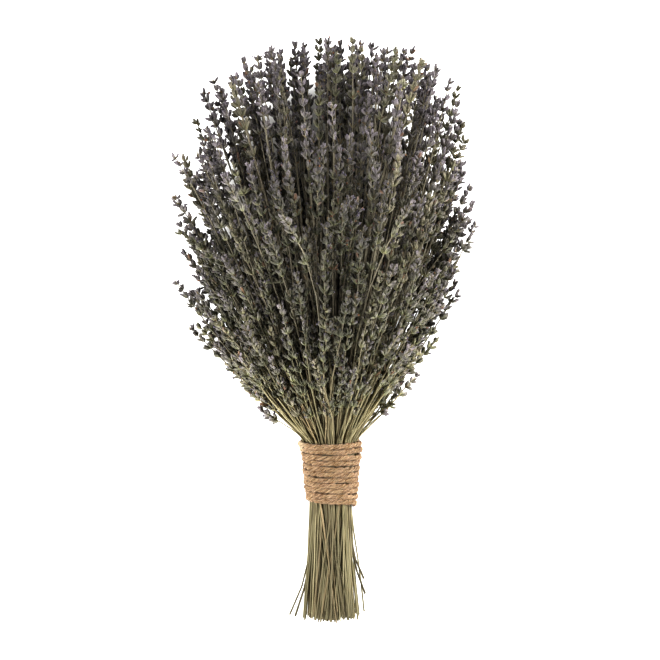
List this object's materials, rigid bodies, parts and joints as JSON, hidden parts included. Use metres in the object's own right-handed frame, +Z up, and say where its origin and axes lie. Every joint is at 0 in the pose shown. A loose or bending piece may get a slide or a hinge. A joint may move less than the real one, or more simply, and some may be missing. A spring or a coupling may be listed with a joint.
{
  "type": "bunch of dried lavender",
  "caption": "Bunch of dried lavender stems with grey-violet flower spikes, wound with tan jute twine, lying on a flat surface.",
  "frame": {"origin": "on the surface that the bunch lies on, under the middle of its whole box", "axes": "+Y along the bunch from the cut ends to the flower heads, +X across the fan, +Z up out of the side that faces the viewer"},
  "size_m": [0.2104, 0.4128, 0.1211],
  "materials": {
    "dried_lavender": "matt dried plant: khaki stems and grey-violet buds",
    "jute_twine": "matt hairy three-ply jute"
  },
  "bodies": {
    "root": {"sheaf_01": "dried_lavender", "sheaf_02": "dried_lavender", "sheaf_03": "dried_lavender", "sheaf_04": "dried_lavender", "sheaf_05": "dried_lavender", "sheaf_06": "dried_lavender", "sheaf_07": "dried_lavender", "sheaf_08": "dried_lavender", "sheaf_09": "dried_lavender", "sheaf_10": "dried_lavender", "sheaf_11": "dried_lavender", "sheaf_12": "dried_lavender", "sheaf_13": "dried_lavender", "sheaf_14": "dried_lavender", "sheaf_15": "dried_lavender", "sheaf_16": "dried_lavender", "sheaf_17": "dried_lavender", "sheaf_18": "dried_lavender", "sheaf_19": "dried_lavender", "sheaf_20": "dried_lavender", "sheaf_21": "dried_lavender", "sheaf_22": "dried_lavender", "sheaf_23": "dried_lavender", "sheaf_24": "dried_lavender", "sheaf_25": "dried_lavender", "sheaf_26": "dried_lavender", "sheaf_27": "dried_lavender", "sheaf_28": "dried_lavender", "sheaf_29": "dried_lavender", "sheaf_30": "dried_lavender", "sheaf_31": "dried_lavender", "sheaf_32": "dried_lavender", "sheaf_33": "dried_lavender", "sheaf_34": "dried_lavender", "sheaf_35": "dried_lavender", "sheaf_36": "dried_lavender", "sheaf_37": "dried_lavender", "sheaf_38": "dried_lavender", "sheaf_39": "dried_lavender", "sheaf_40": "dried_lavender", "sheaf_41": "dried_lavender", "sheaf_42": "dried_lavender", "sheaf_43": "dried_lavender", "sheaf_44": "dried_lavender", "sheaf_45": "dried_lavender", "sheaf_46": "dried_lavender", "sheaf_47": "dried_lavender", "sheaf_48": "dried_lavender", "sheaf_49": "dried_lavender", "sheaf_50": "dried_lavender", "sheaf_51": "dried_lavender", "sheaf_52": "dried_lavender", "twine": "jute_twine"}
  },
  "joints": []
}
